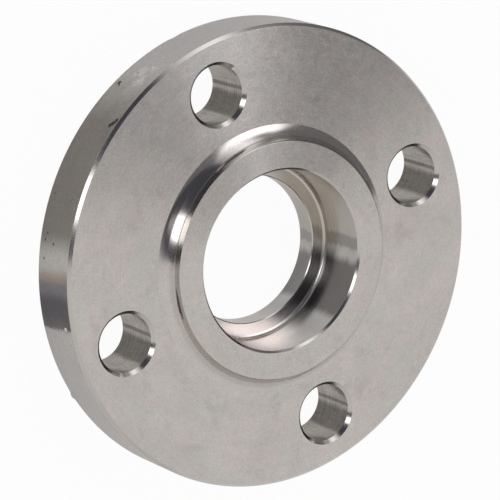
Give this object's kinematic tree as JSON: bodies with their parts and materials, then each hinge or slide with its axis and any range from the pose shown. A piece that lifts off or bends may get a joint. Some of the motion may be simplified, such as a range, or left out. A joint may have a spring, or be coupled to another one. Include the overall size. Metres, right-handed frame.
{
  "type": "socket weld flange",
  "caption": "Round raised-face pipe flange with a short hub, a pipe socket stepping down to a through bore, and bolt holes around the rim.",
  "frame": {"origin": "centre of the gasket face, on the pipe axis, at the lowest point of the flange", "axes": "+Z along the pipe axis from the gasket face towards the hub; +X and +Y midway between neighbouring bolt holes"},
  "size_m": [0.127, 0.127, 0.022],
  "materials": {
    "stainless_steel": "satin turned faces, polished edges and hub root"
  },
  "bodies": {
    "root": {"flange": "stainless_steel"}
  },
  "joints": []
}
